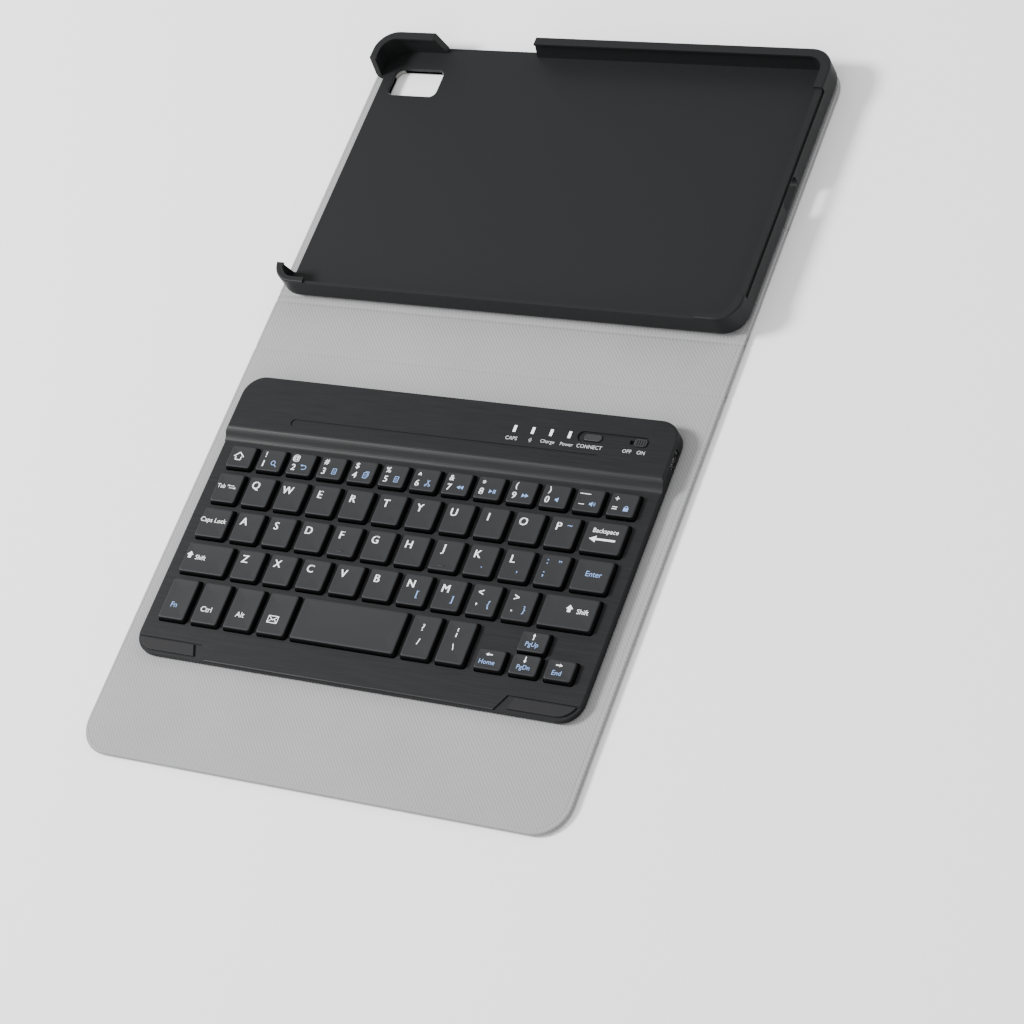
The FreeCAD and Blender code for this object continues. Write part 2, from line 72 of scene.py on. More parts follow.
# ---------------------------------------------------------------- material helpers
class Shader:
    """A material being put together: a principled shader and the nodes that feed it."""

    def __init__(self, name, color, roughness, **sockets):
        self.material = bpy.data.materials.new(name)
        self.material.use_nodes = True
        self.tree = self.material.node_tree
        self.shader = self.tree.nodes["Principled BSDF"]
        self.color = color
        self.material.diffuse_color = (*color, 1)
        self.set(self.shader, "Base Color", (*color, 1))
        self.set(self.shader, "Roughness", roughness)
        for socket, value in sockets.items():
            self.set(self.shader, socket.replace("_", " "), value)

    def set(self, node, socket, value):
        node.inputs[socket].default_value = value

    def node(self, kind, **values):
        made = self.tree.nodes.new("ShaderNode" + kind)
        for key, value in values.items():
            if key in made.inputs:
                self.set(made, key, value)
            else:
                setattr(made, key, value)
        return made

    def link(self, source, target):
        self.tree.links.new(source, target)

    def coordinates(self, scale, kind="Object", turn=0.0):
        """Texture coordinates, scaled per axis; scale is cycles per metre."""
        source = self.node("TexCoord")
        mapping = self.node("Mapping")
        self.set(mapping, "Scale", scale)
        self.set(mapping, "Rotation", (0, 0, turn))
        self.link(source.outputs[kind], mapping.inputs["Vector"])
        return mapping.outputs["Vector"]

    def noise(self, scale, detail, kind="Object"):
        texture = self.node("TexNoise", Scale=1.0, Detail=detail)
        self.link(self.coordinates(scale, kind), texture.inputs["Vector"])
        return texture.outputs["Fac"]

    def spread(self, value, low, high, from_low=0.35, from_high=0.65):
        """A noise value stretched to run from low to high."""
        ramp = self.node("MapRange")
        numbers = {"From Min": from_low, "From Max": from_high, "To Min": low, "To Max": high}
        for socket, number in numbers.items():
            self.set(ramp, socket, number)
        self.link(value, ramp.inputs["Value"])
        return ramp.outputs["Result"]

    def tint(self, value, dark, light):
        """Base colour that runs from dark to light times the plain colour."""
        mix = self.node("Mix", data_type="RGBA")
        sockets = [s for s in mix.inputs if s.name in "AB" and s.type == "RGBA"]
        sockets[0].default_value = (*[c * dark for c in self.color], 1)
        sockets[1].default_value = (*[min(c * light, 1.0) for c in self.color], 1)
        self.link(value, mix.inputs[0])
        result = [s for s in mix.outputs if s.type == "RGBA"][0]
        self.link(result, self.shader.inputs["Base Color"])

    def bumps(self, *layers):
        """Each layer is (height value, depth in metres)."""
        normal = None
        for value, depth in layers:
            bump = self.node("Bump", Strength=1.0, Distance=depth)
            self.link(value, bump.inputs["Height"])
            if normal is not None:
                self.link(normal, bump.inputs["Normal"])
            normal = bump.outputs["Normal"]
        self.link(normal, self.shader.inputs["Normal"])

    def roughen(self, value, low, high):
        self.link(self.spread(value, low, high), self.shader.inputs["Roughness"])

    def combine(self, operation, first, second):
        node = self.node("Math", operation=operation)
        for socket, value in zip(node.inputs, (first, second)):
            if isinstance(value, (int, float)):
                socket.default_value = value
            else:
                self.link(value, socket)
        return node.outputs["Value"]


def grain(name, color, roughness, size, depth, mottling=0.08, **sockets):
    """Moulded plastic or rubber: fine grain, a faint mottling and uneven gloss."""
    s = Shader(name, color, roughness, **sockets)
    fine = s.noise((1 / size,) * 3, 3.0)
    broad = s.noise((420.0,) * 3, 6.0)
    s.tint(broad, 1 - mottling, 1 + mottling)
    s.roughen(broad, roughness - 0.015, roughness + 0.02)
    s.bumps((fine, depth))
    return s.material


def brushed(name, color, roughness):
    """Plastic with long fine strokes along X."""
    s = Shader(name, color, roughness, Specular_IOR_Level=0.15)
    strokes = s.noise((60.0, 5200.0, 5200.0), 5.0)
    broad = s.noise((40.0, 1100.0, 1100.0), 4.0)
    s.tint(s.spread(strokes, 0.0, 1.0), 0.7, 1.35)
    s.roughen(broad, roughness - 0.02, roughness + 0.025)
    s.bumps((strokes, 0.03 * MM))
    return s.material


def twill(name, color):
    """Fine diagonal twill cloth, laid out on the sheet's own flat coordinates."""
    s = Shader(name, color, 0.86, Sheen_Weight=0.25, Specular_IOR_Level=0.22)
    rib, thread = 1.15 * MM, 0.6 * MM
    waves = []
    for period, turn in ((rib, math.radians(-41)), (thread, math.radians(50))):
        wave = s.node("TexWave", Scale=1.0, Distortion=0.6, Detail=1.0, wave_type="BANDS",
                      bands_direction="X")
        s.link(s.coordinates((0.314 / period,) * 3, "UV", turn), wave.inputs["Vector"])
        waves.append(wave.outputs["Fac"])
    cloth = s.combine("ADD", s.combine("MULTIPLY", waves[0], 0.65), s.combine("MULTIPLY", waves[1], 0.35))
    fuzz = s.noise((1500.0,) * 3, 3.0, "UV")
    broad = s.noise((22.0,) * 3, 5.0, "UV")
    shade = s.combine("ADD", s.combine("MULTIPLY", cloth, 0.6), s.combine("MULTIPLY", broad, 0.55))
    s.tint(shade, 0.74, 1.15)
    s.bumps((cloth, 0.08 * MM), (fuzz, 0.04 * MM))
    return s.material


def leather(name, color):
    """Synthetic leather: small pebbles with soft creases between them."""
    s = Shader(name, color, 0.52, Specular_IOR_Level=0.42, Sheen_Weight=0.08)
    cells = s.node("TexVoronoi", Scale=1.0, feature="DISTANCE_TO_EDGE")
    s.link(s.coordinates((1250.0,) * 3, "UV"), cells.inputs["Vector"])
    pebbles = s.spread(cells.outputs["Distance"], 0.0, 1.0, 0.0, 0.22)
    fine = s.noise((3800.0,) * 3, 3.0, "UV")
    broad = s.noise((30.0,) * 3, 5.0, "UV")
    shade = s.combine("ADD", s.combine("MULTIPLY", pebbles, 0.35), s.combine("MULTIPLY", broad, 0.65))
    s.tint(shade, 0.78, 1.14)
    s.roughen(broad, 0.46, 0.6)
    s.bumps((pebbles, 0.06 * MM), (fine, 0.02 * MM))
    return s.material


def ink(name, color):
    s = Shader(name, color, 0.55)
    wear = s.noise((2600.0,) * 3, 3.0)
    s.tint(wear, 0.9, 1.06)
    return s.material


def metal(name, color, roughness):
    s = Shader(name, color, roughness, Metallic=1.0)
    lines = s.noise((300.0, 4200.0, 4200.0), 4.0)
    s.roughen(lines, roughness - 0.06, roughness + 0.08)
    s.bumps((lines, 0.01 * MM))
    return s.material


LINING = twill("lining_twill", (0.275, 0.275, 0.28))
SKIN = leather("outer_leather", (0.2, 0.2, 0.205))
TRAY_PLASTIC = grain("tray_plastic", (0.010, 0.0103, 0.011), 0.5, 0.3 * MM, 0.012 * MM, 0.03,
                     Specular_IOR_Level=0.14)
DECK_PLASTIC = brushed("deck_plastic", (0.0085, 0.0088, 0.0096), 0.46)
CASE_PLASTIC = grain("case_plastic", (0.009, 0.009, 0.0098), 0.48, 0.3 * MM, 0.012 * MM, 0.04,
                     Specular_IOR_Level=0.14)
CAP_PLASTIC = grain("cap_plastic", (0.0165, 0.017, 0.0185), 0.5, 0.35 * MM, 0.012 * MM, 0.04,
                    Specular_IOR_Level=0.16)
# near-black copy of the cap plastic for the cap sides: painted shade
SHADED_SKIRT_PLASTIC = grain("skirt_painted_shade", (0.004, 0.004, 0.0045), 0.6, 0.3 * MM, 0.012 * MM,
                      Specular_IOR_Level=0.08)
RUBBER = grain("pad_rubber", (0.013, 0.013, 0.014), 0.55, 0.3 * MM, 0.015 * MM, Specular_IOR_Level=0.14)
SWITCH_PLASTIC = grain("switch_plastic", (0.02, 0.02, 0.022), 0.4, 0.3 * MM, 0.01 * MM,
                       Specular_IOR_Level=0.3)
BOARD = grain("fibre_board", (0.5, 0.44, 0.34), 0.85, 0.5 * MM, 0.05 * MM, 0.2)
FOAM = grain("foam_tape", (0.1, 0.1, 0.1), 0.9, 0.15 * MM, 0.05 * MM)
DARK_FILM = grain("film", (0.006, 0.006, 0.007), 0.5, 0.6 * MM, 0.01 * MM, Specular_IOR_Level=0.1)
SCISSOR = grain("scissor_plastic", (0.008, 0.008, 0.009), 0.6, 0.3 * MM, 0.01 * MM,
                Specular_IOR_Level=0.1)
SILICONE = grain("silicone", (0.72, 0.72, 0.7), 0.5, 0.4 * MM, 0.01 * MM)
SOLDER_MASK = grain("solder_mask", (0.02, 0.15, 0.06), 0.3, 0.4 * MM, 0.01 * MM)
CHIP = grain("chip_plastic", (0.03, 0.03, 0.03), 0.6, 0.2 * MM, 0.01 * MM)
FOIL = metal("battery_foil", (0.62, 0.63, 0.65), 0.35)
NICKEL = metal("nickel", (0.66, 0.66, 0.66), 0.25)
STEEL = metal("sheet_steel", (0.5, 0.51, 0.52), 0.38)
BLACK_SCREW = metal("black_zinc", (0.12, 0.12, 0.125), 0.35)
LENS = grain("lamp_lens", (0.92, 0.93, 0.95), 0.3, 0.3 * MM, 0.004 * MM, 0.03)
WHITE_INK = ink("white_ink", (0.86, 0.87, 0.88))
BLUE_INK = ink("blue_ink", (0.2, 0.33, 0.62))
GREY_INK = ink("grey_ink", (0.5, 0.51, 0.53))


def paint(node, material):
    """A CAD node keeps its shape and takes this material."""
    target = NODES[node]
    target.data.materials.clear()
    target.data.materials.append(material)


def paint_frame():
    kept = {
        TRAY_PLASTIC: ["tray_shell"], DECK_PLASTIC: ["keyboard_deck"], CASE_PLASTIC: ["keyboard_base"],
        RUBBER: ["front_pads", "rubber_feet"], SWITCH_PLASTIC: ["power_knob", "connect_button"],
        BOARD: ["front_cover_board", "spine_board", "lower_back_board", "upper_back_board"],
        FOAM: ["tray_adhesive"], NICKEL: ["keyboard_magnets", "stand_magnets", "charge_socket"],
        STEEL: ["foot_plates", "latch_plates", "key_support_plate"], DARK_FILM: ["key_membrane"],
        SILICONE: ["key_domes"], SCISSOR: ["key_scissors"], FOIL: ["battery"], SOLDER_MASK: ["main_board"],
        CHIP: ["controller_chip", "power_switch_body", "connect_switch_body"],
        LENS: ["indicator_lenses", "indicator_lamps"], BLACK_SCREW: ["case_screws"],
    }
    for material, names in kept.items():
        for name in names:
            paint(name, material)


# ---------------------------------------------------------------- mesh helpers
def mesh_object(name, verts, faces, materials, face_materials=None, smooth=True):
    mesh = bpy.data.meshes.new(name)
    mesh.from_pydata(verts, [], faces)
    for material in materials:
        mesh.materials.append(material)
    if face_materials:
        mesh.polygons.foreach_set("material_index", face_materials)
    if smooth:
        mesh.shade_smooth()
    made = bpy.data.objects.new(name, mesh)
    bpy.context.collection.objects.link(made)
    return made


def tidy_mesh(obj, merge=1e-7):
    """Merge doubled points and turn every face outwards."""
    b = bmesh.new()
    b.from_mesh(obj.data)
    bmesh.ops.remove_doubles(b, verts=b.verts, dist=merge)
    bmesh.ops.dissolve_degenerate(b, edges=b.edges, dist=merge)
    bmesh.ops.recalc_face_normals(b, faces=b.faces)
    b.to_mesh(obj.data)
    b.free()


def flat_uv(obj):
    """UV coordinates equal to the flat rest position, in metres, so that a weave follows a fold."""
    layer = obj.data.uv_layers.new(name="flat")
    points = [v.co for v in obj.data.vertices]
    for loop in obj.data.loops:
        co = points[loop.vertex_index]
        layer.data[loop.index].uv = (co.x + co.z, co.y + co.z)


def ring_points(cx, cy, hx, hy, r, per_corner=6):
    """A rounded rectangle as a closed run of points, counter-clockwise."""
    points = []
    for index, (sx, sy) in enumerate(((1, 1), (-1, 1), (-1, -1), (1, -1))):
        corner_x, corner_y = cx + sx * (hx - r), cy + sy * (hy - r)
        for step in range(per_corner):
            angle = math.pi / 2 * (index + step / (per_corner - 1))
            points.append((corner_x + r * math.cos(angle), corner_y + r * math.sin(angle)))
    return points


def lofted(rings):
    """Faces between rings of equal length, closed by a face at each end."""
    count = len(rings[0])
    verts = [p for ring in rings for p in ring]
    faces = [list(range(count))[::-1]]
    for level in range(len(rings) - 1):
        low = level * count
        for i in range(count):
            j = (i + 1) % count
            faces.append([low + i, low + j, low + count + j, low + count + i])
    faces.append(list(range(len(verts) - count, len(verts))))
    return verts, faces


# ---------------------------------------------------------------- the folding cover
COVER_X0, COVER_Y0, _, COVER_X1, _, _ = corners("front_cover_skin")
COVER_Y1 = corners("upper_back_skin")[4]
COVER_Z = corners("front_cover_lining")[5]
LINING_Z = corners("front_cover_lining")[2]
CORNER_R = 13.0 * MM
HALF_X = (COVER_X1 - COVER_X0) / 2


def joint_y(name):
    return next(j for j in frame["joints"] if j["name"] == name)["pos_m"][1]


SPINE_Y = joint_y("spine_fold")
BACK_Y = joint_y("back_fold")
STAND_Y = joint_y("stand_raise")
TILT_Y = joint_y("tray_tilt")
FOLDS = (SPINE_Y, BACK_Y, STAND_Y, TILT_Y)
EDGE_INSETS = [i * MM for i in (0, 0.06, 0.2, 0.42, 0.7, 1.05, 1.4, 1.7, 1.9, 2.05, 2.2, 2.4, 2.8,
                                4.0, 6.0, 8.2, 10.6)]
CUT_INSETS = [0.05 * MM]           # keeps the shading flat up to the cut between two stretches
GRID_STEP = 7.0 * MM
HEM_LINE = 2.05 * MM


def stations(low, high, free_low, free_high, dense):
    """Grid lines from low to high: close at free ends and beside the dense places."""
    found = {round(low, 7), round(high, 7)}
    count = max(2, math.ceil((high - low) / GRID_STEP))
    regular = [low + (high - low) * i / count for i in range(count + 1)]
    clear_low = low + (CORNER_R if free_low else 0)
    clear_high = high - (CORNER_R if free_high else 0)
    near = [p for place in dense for p in (place + k * 0.2 * MM for k in range(-12, 13))]
    for value in regular + [clear_low, clear_high] + near:
        if clear_low - 1e-9 <= value <= clear_high + 1e-9:
            found.add(round(value, 7))
    for inset in EDGE_INSETS if free_low else CUT_INSETS:
        found.add(round(low + inset, 7))
    for inset in EDGE_INSETS if free_high else CUT_INSETS:
        found.add(round(high - inset, 7))
    return sorted(found)


def round_corner(x, y, low, high, free_low, free_high, half):
    """Moves a point of the square grid so that the grid's corner becomes an arc."""
    px = abs(x) - (half - CORNER_R)
    for free, end, sign in ((free_low, low, -1), (free_high, high, 1)):
        py = sign * (y - (end - sign * CORNER_R))
        if free and px > 0 and py > 0:
            reach = math.hypot(px, py)
            scale = max(px, py) / reach
            x = math.copysign(half - CORNER_R + px * scale, x)
            y = end - sign * CORNER_R + sign * py * scale
    return x, y


def slab(name, low, high, free_low, free_high, low_z, high_z, inset, material):
    """A closed sheet with rounded free edges; low_z and high_z give heights from (edge distance, y)."""
    half = HALF_X - inset
    low += inset if free_low else 0
    high -= inset if free_high else 0
    xs = stations(-half, half, True, True, [])
    ys = stations(low, high, free_low, free_high, [f for f in FOLDS if low < f < high])
    verts, faces = [], []
    for surface in (high_z, low_z):
        for y in ys:
            for x in xs:
                edge = half - abs(x)
                if free_low:
                    edge = min(edge, y - low)
                if free_high:
                    edge = min(edge, high - y)
                rx, ry = round_corner(x, y, low, high, free_low, free_high, half)
                verts.append((rx, ry, surface(max(edge, 0.0), y)))
    columns, rows = len(xs), len(ys)
    layer = columns * rows
    for j in range(rows - 1):
        for i in range(columns - 1):
            a = j * columns + i
            quad = [a, a + 1, a + columns + 1, a + columns]
            faces.append(quad)
            faces.append([layer + k for k in quad[::-1]])
    last = columns * (rows - 1)
    rims = [list(range(columns)), list(range(last, last + columns)), list(range(0, layer, columns)),
            list(range(columns - 1, layer, columns))]
    for rim in rims:
        faces += [[a, b, layer + b, layer + a] for a, b in zip(rim, rim[1:])]
    made = mesh_object(name, verts, faces, [material])
    tidy_mesh(made, 2e-7)
    return made


def rounding(edge, radius):
    """0 at the rim rising to 1 at radius from it, along a quarter circle."""
    t = min(edge / radius, 1.0)
    return math.sqrt(max(0.0, 1 - (1 - t) ** 2))


def dent(distance, width):
    return math.exp(-(distance / width) ** 2)


def creases(y, depth, width):
    return depth * sum(dent(y - f, width) for f in FOLDS)


def lining_high(edge, y):
    hem = 0.13 * MM * dent(edge - HEM_LINE + 0.3 * MM, 0.22 * MM)
    crown = 0.04 * MM * math.sin(y * 60) * min(edge / (10 * MM), 1)
    top = LINING_Z + (COVER_Z - LINING_Z) * rounding(edge, 0.5 * MM)
    return top - hem - creases(y, 0.32 * MM, 0.7 * MM) + min(crown, 0)


def lining_low(edge, y):
    return LINING_Z - creases(y, 0.15 * MM, 1.0 * MM)


def skin_high(edge, y):
    middle = COVER_Z / 2
    rise = (LINING_Z + 0.02 * MM - middle) * rounding(edge, 0.7 * MM)
    return middle + rise - creases(y, 0.3 * MM, 1.2 * MM)


def skin_low(edge, y):
    middle = COVER_Z / 2
    hem = 0.1 * MM * dent(edge - HEM_LINE, 0.22 * MM)
    return middle * (1 - rounding(edge, 1.0 * MM)) + hem + creases(y, 0.22 * MM, 0.6 * MM)


WINDOW = dict(cx=-84.0 * MM, cy=149.0 * MM, hx=12.5 * MM, hy=7.5 * MM, r=3.5 * MM)


def cut_window(obj):
    """Cuts the camera window, with rounded corners, through a piece of the back cover."""
    flat = ring_points(**WINDOW, per_corner=9)
    verts, faces = lofted([[(x, y, z) for x, y in flat] for z in (-5 * MM, 9 * MM)])
    cutter = mesh_object("window_cutter", verts, faces, [], smooth=False)
    modifier = obj.modifiers.new("window", "BOOLEAN")
    modifier.object = cutter
    modifier.operation = "DIFFERENCE"
    modifier.solver = "EXACT"
    bpy.context.view_layer.update()
    result = bpy.data.meshes.new_from_object(obj.evaluated_get(bpy.context.evaluated_depsgraph_get()))
    obj.modifiers.clear()
    obj.data = result
    bpy.data.objects.remove(cutter)


def cover():
    """The cover in four stretches, each of which holds one fold line, with dense grid lines and a crease
    there.
    """
    mid_spine = (SPINE_Y + BACK_Y) / 2
    mid_strip = (BACK_Y + STAND_Y) / 2
    mid_back = (STAND_Y + TILT_Y) / 2
    stretches = [
        ("front", COVER_Y0, mid_spine, "front_cover", "spine", SPINE_Y, ("front_cover", "spine")),
        ("spine", mid_spine, mid_strip, "spine", "hinge_strip", BACK_Y, ()),
        ("lower", mid_strip, mid_back, "hinge_strip", "lower_back", STAND_Y, ("lower_back",)),
        ("upper", mid_back, COVER_Y1, "lower_back", "upper_back", TILT_Y, ("upper_back",)),
    ]
    for name, low, high, first, second, fold, stands_for in stretches:
        free_low, free_high = name == "front", name == "upper"
        layers = [("skin", skin_low, skin_high, 0.0, SKIN, "outer_skin"),
                  ("lining", lining_low, lining_high, 0.3 * MM, LINING, "lining")]
        for layer, low_z, high_z, inset, material, slot in layers:
            piece = slab(f"{name}_{layer}_cloth", low, high, free_low, free_high, low_z, high_z, inset,
                         material)
            if name == "upper":
                cut_window(piece)
            flat_uv(piece)
            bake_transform(piece)
            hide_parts(*[f"{node}_{layer}" for node in stands_for])
            if name == "spine" and layer == "skin":
                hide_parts("spine_hinge_strip")


# ---------------------------------------------------------------- key caps
CAP_FLARE = 0.45 * MM
CEILING = 0.8 * MM
HOLLOW_INSET = 1.35 * MM
BEVEL = 0.38 * MM
TOP_INSET = CAP_FLARE + BEVEL
# share of the way in from the rim, depth in mm
DISH = [(0.0, 0.0), (0.08, 0.02), (0.25, 0.065), (0.5, 0.11), (0.75, 0.133), (0.92, 0.14)]


def cap_boxes(node, count=1, width_of=None):
    """The footprint of each cap in a node: x0, y0, x1, y1, z0, z1."""
    x0, y0, z0, x1, y1, z1 = corners(node)
    if count == 1:
        return [(x0, y0, x1, y1, z0, z1)]
    wx0, _, _, wx1, _, _ = corners(width_of)
    width = wx1 - wx0
    pitch = (x1 - x0 - width) / (count - 1)
    return [(x0 + i * pitch, y0, x0 + i * pitch + width, y1, z0, z1) for i in range(count)]


def dish_z(x, y, box):
    """Height of the dished top of a cap, the same all the way round at each distance from the rim."""
    x0, y0, x1, y1, _, z1 = box
    inner = min(x1 - x0, y1 - y0) / 2 - TOP_INSET
    share = (min(x - x0, x1 - x, y - y0, y1 - y) - TOP_INSET) / inner
    share = min(max(share, 0.0), DISH[-1][0])
    for (low, shallow), (high, deep) in zip(DISH, DISH[1:]):
        if share <= high:
            return z1 - (shallow + (deep - shallow) * (share - low) / (high - low)) * MM
    return z1 - DISH[-1][1] * MM


def cap_rings(box):
    x0, y0, x1, y1, z0, z1 = box
    cx, cy, hx, hy = (x0 + x1) / 2, (y0 + y1) / 2, (x1 - x0) / 2, (y1 - y0) / 2
    shoulder = z1 - BEVEL
    levels = [(HOLLOW_INSET, z1 - CEILING, 0.6), (HOLLOW_INSET, z0, 0.6), (0.0, z0, 1.1),
              (CAP_FLARE * 0.75, z0 + (shoulder - z0) * 0.7, 1.0), (CAP_FLARE, shoulder, 1.0)]
    for step in range(1, 5):
        angle = math.pi / 2 * step / 4
        levels.append((CAP_FLARE + BEVEL * (1 - math.cos(angle)), shoulder + BEVEL * math.sin(angle), 0.9))
    rings = [[(x, y, z) for x, y in ring_points(cx, cy, hx - i, hy - i, r * MM)] for i, z, r in levels]
    inner = min(hx, hy) - TOP_INSET
    for share, depth in DISH[1:]:
        inset = TOP_INSET + inner * share
        r = max(0.9 * MM * (1 - share), 0.05 * MM)
        rings.append([(x, y, z1 - depth * MM) for x, y in ring_points(cx, cy, hx - inset, hy - inset, r)])
    return rings


DOME_PROFILE = [(2.3, 0.0), (2.3, 0.25), (1.75, 0.5), (1.5, 1.6), (1.25, 2.35), (1.2, 3.0)]


def domes(node, boxes):
    """The rubber dome under each cap of a node."""
    foot = corners("key_domes")[2]
    verts, faces = [], []
    for x0, y0, x1, y1, _, _ in boxes:
        cx, cy = (x0 + x1) / 2, (y0 + y1) / 2
        rings = [[(x, y, foot + z * MM) for x, y in ring_points(cx, cy, r * MM, r * MM, r * 0.999 * MM, 5)]
                 for r, z in DOME_PROFILE]
        dome_verts, dome_faces = lofted(rings)
        faces += [[len(verts) + k for k in face] for face in dome_faces]
        verts += dome_verts
    piece = mesh_object(node + "_domes", verts, faces, [SILICONE])
    tidy_mesh(piece)
    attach(piece, "keyboard")
    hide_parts("key_domes")
    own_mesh(piece)


def caps(node, boxes, body):
    """All the caps of one node as one piece, with grey tops and sides darkened nearly to black as painted
    shade.
    """
    verts, faces, kinds = [], [], []
    for box in boxes:
        rings = cap_rings(box)
        cap_verts, cap_faces = lofted(rings)
        start = len(verts)
        verts += cap_verts
        per_ring = len(rings[0])
        for index, face in enumerate(cap_faces):
            faces.append([start + k for k in face])
            level = (index - 1) // per_ring
            # hollow, base and sides up to the shoulder take the near-black copy of the cap plastic: painted
            # shade on the cap sides
            kinds.append(1 if index == 0 or level < 4 else 0)
    piece = mesh_object(node + "_cap", verts, faces, [CAP_PLASTIC, SHADED_SKIRT_PLASTIC], kinds)
    tidy_mesh(piece)
    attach(piece, body)
    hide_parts(node)
    return piece


# ---------------------------------------------------------------- printed legends
PRINT = 0.02 * MM
PRINT_LIFT = 0.012 * MM


def glyph_mesh(text, size, bold=0.0):
    """Letters as a flat mesh centred on the origin; bold ones are struck twice, a little apart."""
    curve = bpy.data.curves.new("legend", "FONT")
    curve.body = text
    curve.size = size
    curve.align_x = "CENTER"
    curve.align_y = "CENTER"
    curve.extrude = PRINT
    curve.resolution_u = 3
    holder = bpy.data.objects.new("legend", curve)
    bpy.context.collection.objects.link(holder)
    bpy.context.view_layer.update()
    mesh = bpy.data.meshes.new_from_object(holder)
    bpy.data.objects.remove(holder)
    points = [v.co.copy() for v in mesh.vertices]
    polygons = [list(p.vertices) for p in mesh.polygons]
    bpy.data.meshes.remove(mesh)
    if points:
        mx = (min(p.x for p in points) + max(p.x for p in points)) / 2
        my = (min(p.y for p in points) + max(p.y for p in points)) / 2
        points = [Vector((p.x - mx, p.y - my, p.z)) for p in points]
    if not bold:
        return points, polygons
    step = Vector((bold * size, 0, 0))
    return merged(([p - step for p in points], polygons), ([p + step for p in points], polygons))


def prism(outline_points):
    """A thin flat shape from its outline, as points and faces."""
    count = len(outline_points)
    points = [Vector((x, y, z)) for z in (-PRINT, PRINT) for x, y in outline_points]
    faces = [list(range(count))[::-1], list(range(count, 2 * count))]
    faces += [[i, (i + 1) % count, count + (i + 1) % count, count + i] for i in range(count)]
    return points, faces


def merged(*shapes):
    points, faces = [], []
    for shape_points, shape_faces in shapes:
        start = len(points)
        points += shape_points
        faces += [[start + k for k in face] for face in shape_faces]
    return points, faces


def rectangle(x0, y0, x1, y1):
    return prism([(x0, y0), (x1, y0), (x1, y1), (x0, y1)])


def triangle(x, y, w, h, way=1):
    return prism([(x - way * w / 2, y - h / 2), (x + way * w / 2, y), (x - way * w / 2, y + h / 2)][::way])


def band(points, width):
    """A line of even width through the points."""
    shapes = []
    for (ax, ay), (bx, by) in zip(points, points[1:]):
        length = math.hypot(bx - ax, by - ay)
        nx, ny = (ay - by) / length * width / 2, (bx - ax) / length * width / 2
        shapes.append(prism([(ax - nx, ay - ny), (bx - nx, by - ny), (bx + nx, by + ny), (ax + nx, ay + ny)]))
    return merged(*shapes)


def ring_band(cx, cy, r, width, start=0.0, turn=1.0, steps=20):
    angles = [2 * math.pi * (start + turn * i / steps) for i in range(steps + 1)]
    return band([(cx + r * math.cos(a), cy + r * math.sin(a)) for a in angles], width)


def icon_home(s):
    w, h = 0.36 * s, 0.42 * s
    walls = band([(-w, 0.0), (-w, -h), (w, -h), (w, 0.0)], 0.11 * s)
    roof = band([(-0.66 * s, -0.02 * s), (0, 0.55 * s), (0.66 * s, -0.02 * s)], 0.12 * s)
    return merged(walls, roof)


def icon_envelope(s):
    w, h, t = 0.75 * s, 0.5 * s, 0.1 * s
    box = band([(-w, -h), (w, -h), (w, h), (-w, h), (-w, -h)], t)
    return merged(box, band([(-w, h), (0, -0.1 * s), (w, h)], t), band([(-w, -h), (-0.2 * s, 0.05 * s)], t),
                  band([(w, -h), (0.2 * s, 0.05 * s)], t))


def icon_search(s):
    handle = band([(0.14 * s, -0.12 * s), (0.5 * s, -0.46 * s)], 0.13 * s)
    return merged(ring_band(-0.1 * s, 0.12 * s, 0.32 * s, 0.11 * s), handle)


def icon_back(s):
    upper = band([(-0.45 * s, 0.3 * s), (0.05 * s, 0.3 * s)], 0.1 * s)
    lower = band([(-0.3 * s, -0.3 * s), (0.05 * s, -0.3 * s)], 0.1 * s)
    head = triangle(-0.5 * s, 0.3 * s, 0.3 * s, 0.36 * s, -1)
    return merged(ring_band(0.05 * s, 0, 0.3 * s, 0.1 * s, 0.75, 0.5), upper, head, lower)


def icon_page(s):
    w, h = 0.3 * s, 0.42 * s
    edge = band([(-w, -h), (w, -h), (w, h), (-w, h), (-w, -h)], 0.09 * s)
    lines = [band([(-0.15 * s, y * s), (0.15 * s, y * s)], 0.08 * s) for y in (0.1, -0.12)]
    return merged(edge, *lines)


def icon_pages(s):
    behind = band([(-0.12 * s, 0.58 * s), (0.48 * s, 0.58 * s), (0.48 * s, -0.2 * s)], 0.08 * s)
    return merged(icon_page(s), behind)


def icon_cut(s):
    sides = (-1, 1)
    blades = [band([(way * 0.2 * s, -0.2 * s), (-way * 0.2 * s, 0.5 * s)], 0.09 * s) for way in sides]
    handles = [ring_band(way * 0.28 * s, -0.32 * s, 0.14 * s, 0.08 * s, steps=12) for way in sides]
    return merged(*blades, *handles)


def icon_rewind(s):
    return merged(triangle(-0.25 * s, 0, 0.5 * s, 0.6 * s, -1), triangle(0.27 * s, 0, 0.5 * s, 0.6 * s, -1))


def icon_forward(s):
    return merged(triangle(-0.25 * s, 0, 0.5 * s, 0.6 * s), triangle(0.27 * s, 0, 0.5 * s, 0.6 * s))


def icon_play(s):
    bars = [rectangle(x * s, -0.3 * s, (x + 0.13) * s, 0.3 * s) for x in (0.12, 0.36)]
    return merged(triangle(-0.25 * s, 0, 0.5 * s, 0.6 * s), *bars)


def icon_speaker(s, waves):
    body = prism([(-0.5 * s, -0.15 * s), (-0.3 * s, -0.15 * s), (-0.02 * s, -0.38 * s), (-0.02 * s, 0.38 * s),
                  (-0.3 * s, 0.15 * s), (-0.5 * s, 0.15 * s)])
    radii = [(0.22 + 0.2 * k) * s for k in range(waves)]
    arcs = [ring_band(-0.05 * s, 0, r, 0.08 * s, -0.12, 0.24, 6) for r in radii]
    return merged(body, *arcs)


def icon_lock(s):
    shackle = ring_band(0, 0.1 * s, 0.22 * s, 0.1 * s, 0.0, 0.5, 10)
    return merged(rectangle(-0.36 * s, -0.45 * s, 0.36 * s, 0.08 * s), shackle)


